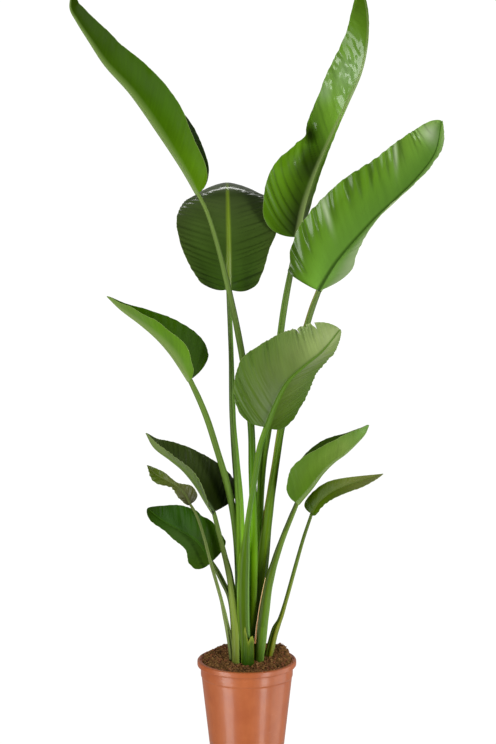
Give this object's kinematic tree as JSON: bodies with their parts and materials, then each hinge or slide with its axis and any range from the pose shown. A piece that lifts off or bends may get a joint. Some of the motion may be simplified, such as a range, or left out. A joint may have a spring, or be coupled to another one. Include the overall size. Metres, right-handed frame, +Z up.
{
  "type": "potted bird of paradise",
  "caption": "Tall paddle-leaved house plant, a clump of long stalks standing in soil in a plain nursery pot.",
  "frame": {"origin": "centre of the pot's flat foot, on the surface the pot stands on", "axes": "+Z up along the pot's axis, -Y towards the side the plant is shown from, +X to its right"},
  "size_m": [0.8725, 0.5339, 1.8155],
  "materials": {
    "pot": "semi-gloss terracotta-coloured plastic",
    "soil": "crumbly peat",
    "blade": "satin leaf with fine side veins",
    "stalk": "satin leaf stalk",
    "sheath": "matt fading leaf sheath",
    "dry": "dry papery sheath"
  },
  "bodies": {
    "root": {"pot": "pot", "soil": "soil", "leaf_01_blade": "blade", "leaf_01_stalk": "stalk", "leaf_02_blade": "blade", "leaf_02_stalk": "stalk", "leaf_03_blade": "blade", "leaf_03_stalk": "stalk", "leaf_04_blade": "blade", "leaf_04_stalk": "stalk", "leaf_05_blade": "blade", "leaf_05_stalk": "stalk", "leaf_06_blade": "blade", "leaf_06_stalk": "stalk", "leaf_07_blade": "blade", "leaf_07_stalk": "stalk", "leaf_08_blade": "blade", "leaf_08_stalk": "stalk", "leaf_09_blade": "blade", "leaf_09_stalk": "stalk", "leaf_10_blade": "blade", "leaf_10_stalk": "stalk", "leaf_11_blade": "blade", "leaf_11_stalk": "stalk", "old_sheath": "sheath", "dry_sheath": "dry"}
  },
  "joints": []
}
